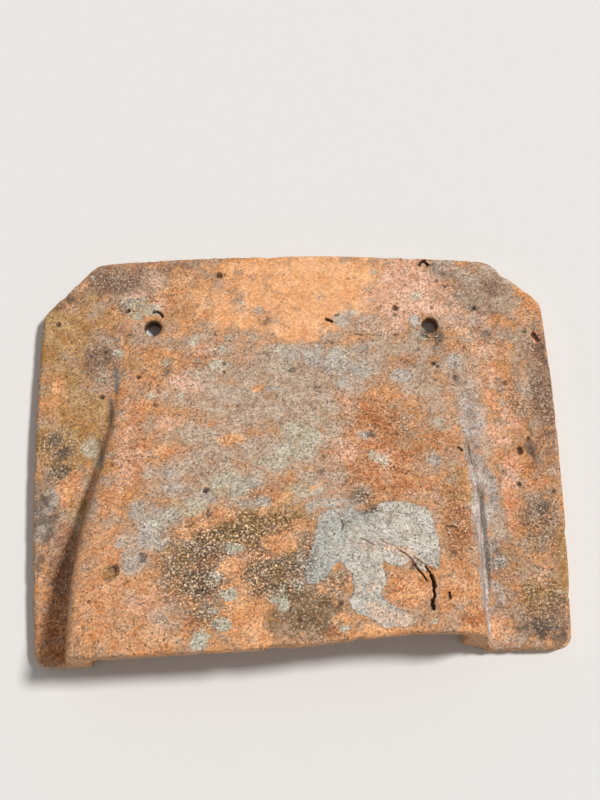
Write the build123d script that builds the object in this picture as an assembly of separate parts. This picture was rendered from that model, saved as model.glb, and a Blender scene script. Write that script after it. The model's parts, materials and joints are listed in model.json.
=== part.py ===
from build123d import *
import os
from math import atan, cos, radians, sqrt, tan

# A hooded vent tile of fired clay for a pitched roof, two plain tiles wide, in millimetres.
# X runs across the roof and Y up the slope, with the nailed head at +Y and the hood's open mouth at -Y.
# The tile's flat underside lies on Z = 0, and the origin is the middle of its outline there.

# Plate
WIDTH = 340.0
LENGTH = 272.0
THICKNESS = 13.0

# Outline of the plate, seen from above
SIDE_BOW = 5.0
HEAD_BOW = 5.5
CLIP_ACROSS = 38.0
LEFT_CLIP_ALONG = 37.0
RIGHT_CLIP_ALONG = 31.0
CLIP_ROUND = 14.0
FRONT_CORNER_ROUND = 9.0
EDGE_ROUND = 2.0

# Front edge, hand-cut: how far it lies behind the tile's foremost point, which is the left end of the mouth
RIGHT_FLANGE_SETBACK = 3.0
LIP_SETBACKS = {-75.0: 1.4, -5.0: 3.8, 50.0: 8.6}

# Nail holes
NAIL_HOLE_DIAMETER = 10.5
NAIL_HOLE_SPACING = 185.0
NAIL_HOLE_FROM_HEAD = 52.6
NAIL_HOLE_SHIFT = -2.5

# Hood: a wedge that starts flat below the nail holes and rises to the front
HOOD_FROM_HEAD = 60.0
HOOD_EASE = 50.0
HOOD_RISE = 46.0
CROWN_RISE = 5.0
CROWN_X = 42.0

# Flanges beside the hood, from the tile's widest line to the foot of the hood, at its start and at its mouth
LEFT_FLANGE_START = 54.0
LEFT_FLANGE_FRONT = 24.0
RIGHT_FLANGE_START = 38.0
RIGHT_FLANGE_FRONT = 57.0

# How far each side wall leans in from its foot to its upper corner, at the hood's start and at its mouth
LEFT_LEAN_START = 4.0
LEFT_LEAN_FRONT = 6.0
RIGHT_LEAN_START = 22.0
RIGHT_LEAN_FRONT = 9.0

# Share of the hood's length over which it eases from the first of these sizes to the second
FLARE_SHARE = 0.88

# Rounding of the hood outside and of the hollow inside: how far from each corner the curve begins
LEFT_FOOT_REACH = 5.0
RIGHT_FOOT_REACH = 8.0
LEFT_CORNER_REACH = 5.0
RIGHT_CORNER_REACH = 8.0
CROWN_REACH = 30.0
LEFT_INNER_REACH = 24.0
RIGHT_INNER_REACH = 8.0

# Clay left between a wall's outer foot and the hollow
WALL_FOOT = 17.0

# The hood's feet are sunk this far into the plate so that the two join, and lie on it this far past each wall
FOOT_BITE = 0.1
FOOT_APRON = 11.0

# Steps between the hood's cross-sections, and room beyond the tile for cutting tools
STATION_STEPS = 18
SPARE = 15.0

half_width = WIDTH / 2
half_length = LENGTH / 2
hood_start = half_length - HOOD_FROM_HEAD
ramp_length = LENGTH - HOOD_FROM_HEAD
ramp_slope = HOOD_RISE / (ramp_length - HOOD_EASE / 2)


def hood_share(y):
    """How far down the hood y is, from 0 at its start to 1 at the front of the tile."""
    return max(0.0, (hood_start - y) / ramp_length)


def flare(start, front, y):
    """A size that eases from one value at the hood's start to another towards the front of the tile."""
    share = min(1.0, hood_share(y) / FLARE_SHARE)
    return start + (front - start) * share * share * (3 - 2 * share)


def rise(y):
    """Height of the hood's upper corners above its feet: an eased start, then a straight ramp."""
    run = hood_start - y
    if run < HOOD_EASE:
        return ramp_slope * run * run / (2 * HOOD_EASE)
    return ramp_slope * (run - HOOD_EASE / 2)


def crown(y):
    """Height of the hood's crown above its upper corners, never quite flat."""
    return 0.02 + CROWN_RISE * hood_share(y)


def rounded(points, reaches):
    """A line through the points whose corners are arcs that begin the given distances from them."""
    radii = []
    for before, corner, after, reach in zip(points, points[1:], points[2:], reaches):
        back = Vector(before) - Vector(corner)
        ahead = Vector(after) - Vector(corner)
        turn = 180 - back.get_angle(ahead)
        room = 0.45 * min(back.length, ahead.length)
        radii.append(min(reach, room) / tan(radians(turn / 2)))
    return FilletPolyline(*points, radius=radii)


def feet(y):
    """Where the hood's left and right walls meet the plate at y."""
    left = flare(LEFT_FLANGE_START, LEFT_FLANGE_FRONT, y) - half_width
    right = half_width - flare(RIGHT_FLANGE_START, RIGHT_FLANGE_FRONT, y)
    return left, right


def hood_section(y):
    """Cross-section of the hood at y, closed along a line inside the plate."""
    left_foot, right_foot = feet(y)
    left_corner = left_foot + flare(LEFT_LEAN_START, LEFT_LEAN_FRONT, y)
    right_corner = right_foot - flare(RIGHT_LEAN_START, RIGHT_LEAN_FRONT, y)
    left_end = left_foot - FOOT_APRON
    right_end = right_foot + FOOT_APRON
    base = THICKNESS - FOOT_BITE
    top = base + 0.02 + rise(y)
    inside = THICKNESS / 2
    skin = rounded(
        [
            (left_end, y, base),
            (left_foot, y, base),
            (left_corner, y, top),
            (CROWN_X, y, top + crown(y)),
            (right_corner, y, top),
            (right_foot, y, base),
            (right_end, y, base),
        ],
        [LEFT_FOOT_REACH, LEFT_CORNER_REACH, CROWN_REACH, RIGHT_CORNER_REACH, RIGHT_FOOT_REACH],
    )
    closing = Polyline((right_end, y, base), (right_end, y, inside), (left_end, y, inside), (left_end, y, base))
    return make_face([skin, closing])


def hollow_section(y):
    """Cross-section of the hollow at y: one thickness of clay inside the hood, open below."""
    left_foot, right_foot = feet(y)
    left_wall = left_foot + WALL_FOOT
    right_wall = right_foot - WALL_FOOT
    roof = THICKNESS + rise(y) - THICKNESS / cos(atan(ramp_slope))
    depth = -2 * SPARE
    skin = rounded(
        [
            (left_wall, y, depth),
            (left_wall, y, roof),
            (CROWN_X, y, roof + crown(y)),
            (right_wall, y, roof),
            (right_wall, y, depth),
        ],
        [LEFT_INNER_REACH, CROWN_REACH, RIGHT_INNER_REACH],
    )
    return make_face([skin, Line((right_wall, y, depth), (left_wall, y, depth))])


def side_x(y):
    """Half-width of the plate at y: the long sides bulge in a shallow arc."""
    arc_radius = (half_length**2 + SIDE_BOW**2) / (2 * SIDE_BOW)
    return half_width - arc_radius + sqrt(arc_radius**2 - y**2)


def plan():
    """The plate's outline seen from above, with its corners rounded."""
    front_y = -half_length
    right_front_y = front_y + RIGHT_FLANGE_SETBACK
    head_y = half_length - HEAD_BOW
    left_clip_y = head_y - LEFT_CLIP_ALONG
    right_clip_y = head_y - RIGHT_CLIP_ALONG
    head_left = (CLIP_ACROSS - half_width, head_y)
    head_right = (half_width - CLIP_ACROSS, head_y)
    clip_left = (-side_x(left_clip_y), left_clip_y)
    clip_right = (side_x(right_clip_y), right_clip_y)
    front_left = (-side_x(front_y), front_y)
    front_right = (side_x(right_front_y), right_front_y)
    left_foot, right_foot = feet(front_y)
    lip_left = (left_foot, front_y)
    lip_right = (right_foot, right_front_y)
    lip_points = [(x, front_y + setback) for x, setback in LIP_SETBACKS.items()]
    edges = [
        ThreePointArc(head_left, (0, half_length), head_right),
        Line(head_right, clip_right),
        ThreePointArc(clip_right, (half_width, 0), front_right),
        Line(front_right, lip_right),
        Spline(lip_left, *lip_points, lip_right, tangents=[(1, 0), (1, -0.6)]),
        Line(lip_left, front_left),
        ThreePointArc(front_left, (-half_width, 0), clip_left),
        Line(clip_left, head_left),
    ]
    outline = make_face(edges)
    clip_corners = [v for v in outline.vertices() if v.Y > left_clip_y - 1]
    outline = fillet(clip_corners, CLIP_ROUND)
    front_corners = [v for v in outline.vertices() if v.Y < right_front_y + 1 and abs(v.X) > front_right[0] - 1]
    return fillet(front_corners, FRONT_CORNER_ROUND)


def along_hood(section):
    """A solid through the given cross-section at even steps, from the hood's start to past its mouth."""
    last = -half_length - SPARE
    run = hood_start - last
    places = [hood_start - run * step / STATION_STEPS for step in range(STATION_STEPS + 1)]
    return loft([section(y) for y in places], ruled=True)


def plate():
    """The flat sheet with its upper edges rounded, all but the mouth's."""
    sheet = extrude(plan(), amount=THICKNESS)
    top_edges = sheet.edges().group_by(Axis.Z)[-1]
    return fillet([e for e in top_edges if e.geom_type != GeomType.BSPLINE], EDGE_ROUND)


def vent_tile():
    """The fired tile: plate and hood in one skin, less the hollow and the nail holes."""
    tall = THICKNESS + HOOD_RISE + CROWN_RISE + SPARE
    hood = along_hood(hood_section) & extrude(plan(), amount=tall)
    tile = plate() + hood
    tile -= along_hood(hollow_section)
    nail_y = half_length - NAIL_HOLE_FROM_HEAD
    for side in (-1, 1):
        nail_x = NAIL_HOLE_SHIFT + side * NAIL_HOLE_SPACING / 2
        tile -= Pos(nail_x, nail_y, THICKNESS / 2) * Cylinder(NAIL_HOLE_DIAMETER / 2, 4 * THICKNESS)
    return tile


os.makedirs("parts", exist_ok=True)
tile = vent_tile()
print("vent_tile", len(tile.solids()), "solid", round(tile.volume / 1000), "cm3", tile.bounding_box())
export_step(tile, "parts/vent_tile.step")
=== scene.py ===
# %% [markdown]
# # A weathered clay vent tile
# The real thing is one sheet of roofing clay. It was pushed up into a hood while it was soft, trimmed by hand
# with a wire, fired without a glaze and then left on a roof for decades. This lesson dresses the measured
# model of it: first the camera, the floor and the light, then the worn clay body, and at last the surface
# with its lichen.

# %% The measured model
import bpy
import json
from math import radians
import numpy as np
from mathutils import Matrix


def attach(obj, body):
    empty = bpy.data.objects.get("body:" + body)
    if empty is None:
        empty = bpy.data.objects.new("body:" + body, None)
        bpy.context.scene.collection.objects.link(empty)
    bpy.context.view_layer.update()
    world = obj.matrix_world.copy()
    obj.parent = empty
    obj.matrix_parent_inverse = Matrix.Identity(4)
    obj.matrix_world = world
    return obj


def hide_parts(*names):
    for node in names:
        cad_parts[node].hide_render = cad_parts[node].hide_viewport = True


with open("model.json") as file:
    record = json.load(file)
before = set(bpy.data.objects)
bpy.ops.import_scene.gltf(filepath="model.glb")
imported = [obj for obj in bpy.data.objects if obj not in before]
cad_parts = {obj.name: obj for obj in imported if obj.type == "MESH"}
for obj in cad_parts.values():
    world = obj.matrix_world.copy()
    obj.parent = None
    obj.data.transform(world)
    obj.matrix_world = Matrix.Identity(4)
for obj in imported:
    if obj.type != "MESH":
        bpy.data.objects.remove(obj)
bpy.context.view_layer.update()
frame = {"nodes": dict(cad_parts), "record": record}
MM = 0.001
TILE_NODE = "vent_tile"

# %% [markdown]
# ## Camera
# The picture was taken standing over the tile, a little in front of it. The place, the tilt and the lens were
# worked out from the tile's known outline, so the camera is set once from those numbers and not tuned by eye.

# %% Camera
CAMERA_PLACE_MM = (-42.5, -207.5, 743.1)
CAMERA_TURN_DEG = (18.191, -2.812, -1.820)
SENSOR_MM, LENS_MM = 36.0, 53.03

camera_data = bpy.data.cameras.new("camera")
camera_data.sensor_width = SENSOR_MM
camera_data.lens = LENS_MM
camera = bpy.data.objects.new("camera", camera_data)
bpy.context.scene.collection.objects.link(camera)
camera.location = [v * MM for v in CAMERA_PLACE_MM]
camera.rotation_euler = [radians(v) for v in CAMERA_TURN_DEG]
bpy.context.scene.camera = camera
print("camera stands", round(camera.location.z, 3), "m above the floor")

# %% [markdown]
# ## One helper for colours and one for nodes
# Colours are written as hex values, the way a paint chip or an image editor gives them, and Blender wants
# them linear. Every material below is a network of nodes, and one small function adds any node with its
# settings and its inputs, which keeps the recipes readable.

# %% Colours and nodes
def colour(hex_value):
    """An sRGB hex colour as the linear numbers that a shader takes."""
    parts = [int(hex_value[i : i + 2], 16) / 255 for i in (1, 3, 5)]
    return [p / 12.92 if p <= 0.04045 else ((p + 0.055) / 1.055) ** 2.4 for p in parts] + [1.0]


def add(tree, kind, inputs=None, **settings):
    """Adds one node. An input is a plain value, or a socket that it is linked from."""
    node = tree.nodes.new(kind)
    for name, value in settings.items():
        setattr(node, name, value)
    for name, value in (inputs or {}).items():
        if isinstance(value, bpy.types.NodeSocket):
            tree.links.new(value, node.inputs[name])
        else:
            node.inputs[name].default_value = value
    return node


def per_metre(size_mm):
    """The scale of a pattern whose features are that many millimetres across."""
    return 1.0 / (size_mm * MM)


print("the middle grey #808080 is", round(colour("#808080")[0], 3), "in linear light")

# %% [markdown]
# ## Floor and light
# A plain pale floor and soft light let the clay speak. The sun of the picture came from the right and a
# little from behind the head of the tile. A sun lamp with a wide disc stands in for it, so the hood keeps its
# shape without a hard shadow, and an even white sky fills the rest so that a colour renders about as it is
# written.

# %% Floor
FLOOR_METRES, FLOOR_DROP_MM = 6.0, 0.4
FLOOR_ROUGHNESS = 0.9

bpy.ops.object.select_all(action="DESELECT")
bpy.ops.mesh.primitive_plane_add(size=FLOOR_METRES, location=(0.0, 0.0, -FLOOR_DROP_MM * MM))
floor = bpy.context.active_object
floor.name = "studio_floor"
floor_paint = bpy.data.materials.new("pale_matt_floor")
floor_paint.use_nodes = True
floor_shader = floor_paint.node_tree.nodes["Principled BSDF"]
floor_shader.inputs["Base Color"].default_value = colour("#E9E7E3")
floor_shader.inputs["Roughness"].default_value = FLOOR_ROUGHNESS
floor.data.materials.append(floor_paint)
print("floor is", FLOOR_METRES, "m across")

# %% Light
SKY_STRENGTH = 0.30
SUN_STRENGTH = 2.64
SUN_SOFTNESS_DEG = 9.0
SUN_TURN_DEG = (32.0, 0.0, 105.0)

world = bpy.data.worlds.new("even_sky")
bpy.context.scene.world = world
world.use_nodes = True
sky = world.node_tree.nodes["Background"]
sky.inputs["Color"].default_value = colour("#FFFFFF")
sky.inputs["Strength"].default_value = SKY_STRENGTH
sun_data = bpy.data.lights.new("soft_sun", "SUN")
sun_data.energy = SUN_STRENGTH
sun_data.angle = radians(SUN_SOFTNESS_DEG)
sun = bpy.data.objects.new("soft_sun", sun_data)
bpy.context.scene.collection.objects.link(sun)
sun.rotation_euler = [radians(v) for v in SUN_TURN_DEG]
bpy.context.scene.view_settings.view_transform = "Standard"
print("sky of strength", SKY_STRENGTH, "and sun of strength", SUN_STRENGTH)

# %% [markdown]
# ## The clay body
# The measured model is exact, but its triangles are long and thin and its arrises are sharp. A copy of it is
# merged and remeshed with small cubes, so that it has even squares that can be pressed and worn like clay. A
# little smoothing then rounds the arrises, as weather has rounded the real ones.

# %% An even skin over a copy of the measured tile
MERGE_MM, SKIN_MM = 0.01, 1.8
ROUNDING_PASSES, ROUNDING_SHARE = 2, 0.5

tile = bpy.data.objects.new("weathered_tile", frame["nodes"][TILE_NODE].data.copy())
bpy.context.scene.collection.objects.link(tile)
bpy.ops.object.select_all(action="DESELECT")
tile.select_set(True)
bpy.context.view_layer.objects.active = tile
bpy.ops.object.mode_set(mode="EDIT")
bpy.ops.mesh.select_all(action="SELECT")
bpy.ops.mesh.remove_doubles(threshold=MERGE_MM * MM)
bpy.ops.object.mode_set(mode="OBJECT")

remesh = tile.modifiers.new("even_skin", "REMESH")
remesh.mode = "VOXEL"
remesh.voxel_size = SKIN_MM * MM
bpy.ops.object.modifier_apply(modifier=remesh.name)
smooth = tile.modifiers.new("rounded_arrises", "SMOOTH")
smooth.factor = ROUNDING_SHARE
smooth.iterations = ROUNDING_PASSES
bpy.ops.object.modifier_apply(modifier=smooth.name)
print("skin:", len(tile.data.polygons), "faces")

# %% [markdown]
# ## Pits, slits and the crack
# Stones burst out of the clay in the kiln, tools and frost opened slits, and one crack runs up from the
# mouth. These are real dents, so they cast their own shadows. The skin is first cut finer just around them,
# and finest along the slits and the hair-thin strands of the crack. Then each dent is painted as weights on
# the points, and a Displace modifier presses the painted points down, because one modifier then does the work
# of seventy hand moves.

# %% Where the dents are, in millimetres across and up the tile
PITS = [
    # across, up, radius, depth
    (-115.5, -84.0, 3.2, 3.0), (-119.0, -87.0, 2.4, 1.4), (-111.6, 95.5, 1.1, 1.6), (-50.6, 121.0, 1.7, 1.9),
    (-47.4, 121.2, 0.9, 0.8), (-157.0, 86.3, 1.2, 1.3), (-127.4, 35.4, 1.1, 1.4), (-104.0, 48.4, 1.3, 1.2),
    (-93.0, 27.8, 1.2, 0.9), (-48.2, 51.0, 1.0, 1.2), (-48.6, 57.2, 1.2, 1.0), (-125.8, 66.0, 0.9, 0.8),
    (67.3, 95.8, 1.9, 1.5), (66.6, 91.2, 1.1, 1.0), (102.2, 111.2, 1.0, 1.1), (96.4, 115.2, 0.9, 0.9),
    (120.6, 95.0, 1.2, 1.2), (92.0, 95.6, 0.9, 0.9), (90.1, 55.5, 1.0, 1.3), (92.8, 53.2, 0.9, 1.1),
    (159.6, 75.2, 1.7, 1.9), (161.0, 73.4, 1.9, 2.4), (162.3, 71.6, 1.5, 1.8), (153.5, 77.6, 1.0, 1.0),
    (111.6, 67.0, 0.9, 1.0), (109.0, 69.4, 0.7, 0.7), (137.0, 41.2, 1.4, 0.9), (143.0, -4.2, 1.6, 2.0),
    (143.2, -6.0, 1.5, 1.8), (140.6, -27.6, 1.1, 1.4), (130.3, -19.2, 0.7, 0.8), (162.4, -33.0, 1.2, 1.0),
    (98.4, -47.8, 0.8, 0.9), (-119.0, -14.6, 1.5, 0.8), (-97.8, -56.6, 0.7, 0.7), (-128.4, -102.4, 1.0, 1.0),
    (-131.0, -117.4, 0.9, 0.9), (-20.0, -34.0, 0.8, 0.9), (18.2, -107.4, 1.4, 1.2), (-6.4, -117.0, 1.0, 0.9),
    (-60.9, -33.8, 1.1, 1.0), (-100.8, -41.4, 0.9, 0.8), (13.4, -11.8, 0.9, 0.8), (35.8, 117.8, 0.8, 0.8),
    (23.0, 71.2, 0.9, 0.9), (148.8, 60.6, 0.8, 0.8), (0.0, 24.0, 0.7, 0.6), (-40.4, 26.4, 0.9, 0.8),
    (110.6, 41.0, 1.2, 0.7), (-108.4, -92.0, 0.9, 0.8), (-139.0, 66.6, 1.4, 0.6), (149.2, 3.0, 1.1, 1.0),
]
GROOVES = [
    # half width, depth, then the points that it runs through
    (0.22, 1.6, (70.5, -85.8), (72.5, -88.8), (73.6, -91.4)),
    (0.62, 3.4, (73.6, -91.6), (74.6, -95.8), (74.5, -98.6)),
    (0.36, 3.2, (74.5, -98.6), (74.0, -101.0), (74.4, -104.0), (72.9, -106.6)),
    (0.70, 3.2, (72.6, -107.0), (72.2, -109.2), (72.7, -111.6)),
    (0.16, 0.5, (63.8, -78.8), (66.8, -81.5), (70.2, -84.5), (73.2, -86.8), (76.5, -88.5)),
    (0.18, 0.9, (55.8, -75.5), (59.8, -77.8), (62.8, -81.2), (64.2, -84.5), (65.8, -87.5)),
    (0.26, 1.6, (65.4, -86.8), (68.5, -90.8), (70.5, -94.5)),
    (0.15, 0.6, (44.8, -67.5), (47.8, -70.5), (52.5, -71.8), (55.8, -75.5)),
    (0.15, 0.4, (60.6, -78.6), (61.8, -82.0), (64.6, -86.4)),
    (0.25, 0.7, (33.0, -67.0), (37.0, -69.0), (40.6, -71.4)),
    (0.25, 0.7, (21.8, -55.0), (22.6, -58.6), (22.0, -61.8)),
    (0.45, 2.4, (20.4, 88.4), (22.2, 87.4), (24.0, 86.6)),
    (0.35, 1.0, (26.4, 91.0), (28.6, 91.6)),
    (0.30, 1.0, (99.6, -6.2), (101.0, -7.2), (102.2, -8.6)),
    (0.40, 1.8, (83.2, -102.2), (83.4, -105.4)),
    (0.45, 2.0, (-94.6, 94.4), (-92.2, 94.8), (-90.0, 93.6), (-88.6, 91.2)),
    (0.50, 2.2, (85.4, 127.2), (87.0, 129.4), (89.0, 129.8), (91.4, 127.2)),
    (0.25, 0.7, (86.0, -60.0), (89.0, -60.2), (92.0, -61.0), (92.6, -62.8)),
    (0.22, 0.35, (106.4, -3.0), (107.2, -10.0), (107.6, -17.6)),
    (0.25, 0.5, (29.8, 65.0), (31.8, 64.2), (33.2, 61.2)),
    (0.25, 0.4, (38.0, 77.4), (44.0, 76.6), (50.0, 77.2), (58.0, 75.4)),
    (0.25, 0.4, (40.0, 73.6), (47.0, 73.0), (55.0, 73.4)),
]
CRUMBS = [
    # across, up, radius: bits lost from the outline
    (-17.5, 136.0, 3.4), (-34.0, 136.4, 2.0), (-49.0, 136.0, 1.9), (-27.0, 136.6, 1.8), (-9.0, 136.8, 1.7),
    (62.0, 135.6, 1.6), (142.8, 120.2, 3.6), (80.0, 134.0, 1.7), (-155.0, 107.6, 2.0), (-18.0, -133.2, 2.8),
    (-23.0, -133.4, 2.0), (-124.0, -136.8, 2.6), (28.0, -129.8, 2.0), (-62.0, -135.4, 1.7),
    (60.0, -128.0, 1.6), (108.0, -132.6, 2.8), (121.0, -134.2, 2.0), (133.0, -134.4, 2.4), (170.6, 12.0, 1.8),
    (169.6, -60.0, 2.0), (-171.0, 30.0, 2.0), (-170.6, -12.0, 1.8), (168.4, -98.0, 1.8), (-168.6, -84.0, 2.0),
]
RIDGE = [(88, 130), (93, 122), (100, 113), (112, 98)]
print(len(PITS), "pits,", len(GROOVES), "grooves,", len(CRUMBS), "crumbs")

# %% Cut the skin finer around them
UP_FACING = 0.35
# Each cut: the room round a dent in mm, and the pits that it takes in. The last is for grooves only.
CUTS = [(2.6, PITS), (1.7, PITS), (0.8, [])]


def tile_points():
    """Places and normals of the skin's points, places in millimetres."""
    count = len(tile.data.vertices)
    places, normals = np.empty(count * 3), np.empty(count * 3)
    tile.data.vertices.foreach_get("co", places)
    tile.data.vertices.foreach_get("normal", normals)
    return places.reshape(-1, 3) / MM, normals.reshape(-1, 3)


def from_line(places, line):
    """Distance of each place from a line of points, seen from above."""
    nearest = np.full(len(places), np.inf)
    for start, end in zip(line, line[1:]):
        start, along = np.array(start), np.subtract(end, start)
        share = np.clip((places[:, :2] - start) @ along / (along @ along), 0.0, 1.0)
        gap = places[:, :2] - start - share[:, None] * along
        nearest = np.minimum(nearest, np.hypot(gap[:, 0], gap[:, 1]))
    return nearest


bpy.context.tool_settings.mesh_select_mode = (True, False, False)
for room, pits in CUTS:
    places, normals = tile_points()
    near = np.zeros(len(places), bool)
    for across, up, radius, depth in pits:
        near |= np.hypot(places[:, 0] - across, places[:, 1] - up) < radius + room
    for half_width, depth, *line in GROOVES:
        near |= from_line(places, line) < half_width + room
    tile.data.polygons.foreach_set("select", np.zeros(len(tile.data.polygons), bool))
    tile.data.edges.foreach_set("select", np.zeros(len(tile.data.edges), bool))
    tile.data.vertices.foreach_set("select", near & (normals[:, 2] > UP_FACING))
    bpy.ops.object.mode_set(mode="EDIT")
    bpy.ops.mesh.subdivide(number_cuts=1)
    bpy.ops.object.mode_set(mode="OBJECT")
    print("after cutting:", len(tile.data.vertices), "points")

# %% Paint the dents as weights and press them in
DEEPEST_MM = 3.4
CRUMB_MM = 1.5
RIDGE_MM, RIDGE_HALF_MM = 0.4, 2.5
# Over 1, so that a dent is at its full depth all over its middle
PIT_FULL, GROOVE_FULL, CRUMB_FULL = 1.25, 1.6, 1.3
SEED, RAGGEDNESS = 7, 0.12
FAINTEST_WEIGHT = 0.002


def press(name, weights, depth_mm, direction="NORMAL", texture=None):
    """Paints the weights on the skin, then moves each point in by its weight times the depth."""
    group = tile.vertex_groups.new(name=name)
    for index in np.flatnonzero(weights > FAINTEST_WEIGHT):
        group.add([int(index)], float(weights[index]), "REPLACE")
    displace = tile.modifiers.new(name, "DISPLACE")
    displace.vertex_group = name
    displace.direction = direction
    displace.texture = texture
    displace.mid_level = 0.0
    displace.strength = -depth_mm * MM
    bpy.ops.object.modifier_apply(modifier=name)


rng = np.random.default_rng(SEED)
places, normals = tile_points()
ragged = 1.0 + rng.normal(0.0, RAGGEDNESS, len(places))
up_side = normals[:, 2] > UP_FACING
sink = np.zeros(len(places))
for across, up, radius, depth in PITS:
    away = np.hypot(places[:, 0] - across, places[:, 1] - up) / radius * ragged
    sink = np.maximum(sink, depth * np.clip(PIT_FULL - away**2, 0.0, 1.0))
for half_width, depth, *line in GROOVES:
    away = from_line(places, line) / half_width * ragged
    sink = np.maximum(sink, depth * np.clip(GROOVE_FULL - away, 0.0, 1.0))
sink *= up_side
lost = np.zeros(len(places))
for across, up, radius in CRUMBS:
    away = np.hypot(places[:, 0] - across, places[:, 1] - up) / radius * ragged
    lost = np.maximum(lost, np.clip(CRUMB_FULL - away, 0.0, 1.0))
ridge = np.clip(1.0 - from_line(places, RIDGE) / RIDGE_HALF_MM, 0.0, 1.0) * up_side
press("dents", sink / DEEPEST_MM, DEEPEST_MM, "Z")
press("crumbs", lost, CRUMB_MM)
press("ridge", ridge, -RIDGE_MM, "Z")
print("deepest dent", round(float(sink.max()), 2), "mm")

# %% [markdown]
# ## Uneven by hand, worn by weather
# A hand-made tile is never quite flat, and its outward corners are nibbled by frost. Both come from one
# Displace modifier each, with a clouds texture: wide clouds for the waviness, and small ones that act only on
# the outward corners. A corner is found by how far a point stands out from the middle of its neighbours.

# %% Waves and worn corners
WAVE_MM, WAVE_DEPTH_MM, WAVE_DETAIL = 60.0, 0.7, 1
NIBBLE_MM, NIBBLE_DEPTH_MM, NIBBLE_DETAIL = 5.0, 1.5, 3
SHARP_MM = 0.22
DENTED_MM = 0.05

clouds = {}
for name, size_mm, detail in (("waves", WAVE_MM, WAVE_DETAIL), ("nibbles", NIBBLE_MM, NIBBLE_DETAIL)):
    clouds[name] = bpy.data.textures.new(name, "CLOUDS")
    clouds[name].noise_scale = size_mm * MM
    clouds[name].noise_depth = detail
places, normals = tile_points()
ends = np.empty(len(tile.data.edges) * 2, np.int32)
tile.data.edges.foreach_get("vertices", ends)
ends = ends.reshape(-1, 2)
both = np.concatenate([ends, ends[:, ::-1]])
count = np.bincount(both[:, 0], minlength=len(places))
middle = np.stack([np.bincount(both[:, 0], places[both[:, 1], axis], len(places)) for axis in range(3)], 1)
stands_out = np.einsum("ij,ij->i", places - middle / count[:, None], normals)
corner = np.clip(stands_out / SHARP_MM, 0.0, 1.0) * (sink < DENTED_MM)
press("waves", np.ones(len(places)), WAVE_DEPTH_MM, texture=clouds["waves"])
press("nibbles", corner, NIBBLE_DEPTH_MM, texture=clouds["nibbles"])
print("points on an outward corner:", int((corner > 0.5).sum()))

# %% [markdown]
# ## Where each stain lies
# Decades outdoors have left ochre dust, a grey-lilac film, pale lichen, soot and speckles on different parts
# of the tile, and the clay itself runs from pink to burnt orange and lies bare in some windows. Each of them
# is a list of soft oval patches, placed in millimetres and painted on the skin as a value from 0 to 1.
# The material later tears their edges with noise, so the ovals themselves never show. The colours of the clay
# come first. Clay burns darker where the flame touches it, and the head stayed fresh because the tiles above
# it kept the weather off.

# %% The colours of the clay
# A patch is: across, up, half width, half height, turn in degrees, strength
PATCHES = {}
PATCHES["fresh_clay"] = [
    (8, 120, 34, 20, 0, 1.0), (-24, 118, 22, 14, 0, 0.95), (10, 94, 24, 14, 0, 1.0),
    (-40, 124, 14, 7, 0, 0.8), (-40, 87, 20, 6, 0, 0.75), (3, 78, 14, 6, 0, 0.95), (48, 124, 16, 12, 0, 0.8),
    (22, 82, 10, 5, 0, 0.7), (-22, 104, 16, 10, 0, 0.85), (40, 100, 14, 12, 0, 0.7),
    (-52, 106, 12, 8, 0, 0.5), (-60, 104, 18, 12, 0, 0.6), (-46, 96, 14, 8, 0, 0.65),
    (26, 108, 22, 24, 0, 0.9), (-44, 84, 18, 3, 0, 0.7), (1, 73, 8, 4, 12, 0.8), (-18, 82, 12, 4, 4, 0.7),
    (30, 92, 10, 3, 0, 0.5), (56, 112, 12, 12, 0, 0.6),
]
PATCHES["pink_clay"] = [
    (76, 118, 20, 16, 0, 1.0), (70, 100, 22, 15, 0, 1.0), (92, 105, 15, 17, -30, 1.0),
    (105, 91, 16, 10, 0, 0.85), (126, 84, 10, 6, 0, 0.5), (148, 96, 6, 8, 0, 0.5), (60, 84, 16, 8, 0, 0.6),
    (134, -31, 5, 10, 0, 1.0), (124, 48, 7, 12, 0, 0.6), (138, 62, 7, 7, 0, 0.5), (118, 76, 8, 6, 0, 0.5),
    (84, 68, 12, 6, 0, 0.4), (124, 62, 12, 10, 0, 0.5), (-110, 10, 12, 26, 0, 0.4),
    (-112, -20, 10, 22, 0, 0.45), (-72, 44, 16, 12, 0, 0.65), (-46, 12, 8, 6, 0, 0.8),
    (-92, 118, 8, 10, 0, 0.6), (-85, 16, 12, 10, 0, 0.5), (126, 4, 12, 8, 0, 0.75), (137, -16, 8, 12, 0, 0.6),
    (140, 18, 8, 10, 0, 0.5), (50, -14, 10, 10, 0, 0.5), (28, -8, 10, 14, 0, 0.5), (-100, -12, 10, 8, 0, 0.5),
    (108, -112, 6, 20, 0, 0.35), (-95, -105, 16, 10, 0, 0.5), (-42, -78, 8, 5, 0, 0.8),
    (30, 26, 10, 8, 0, 0.4), (150, -86, 8, 10, 0, 0.5), (-108, 108, 10, 4, 0, 0.6), (70, -40, 14, 6, 0, 0.45),
    (-90, 96, 8, 8, 0, 0.5), (-62, 68, 12, 5, 0, 0.5),
]
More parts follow.
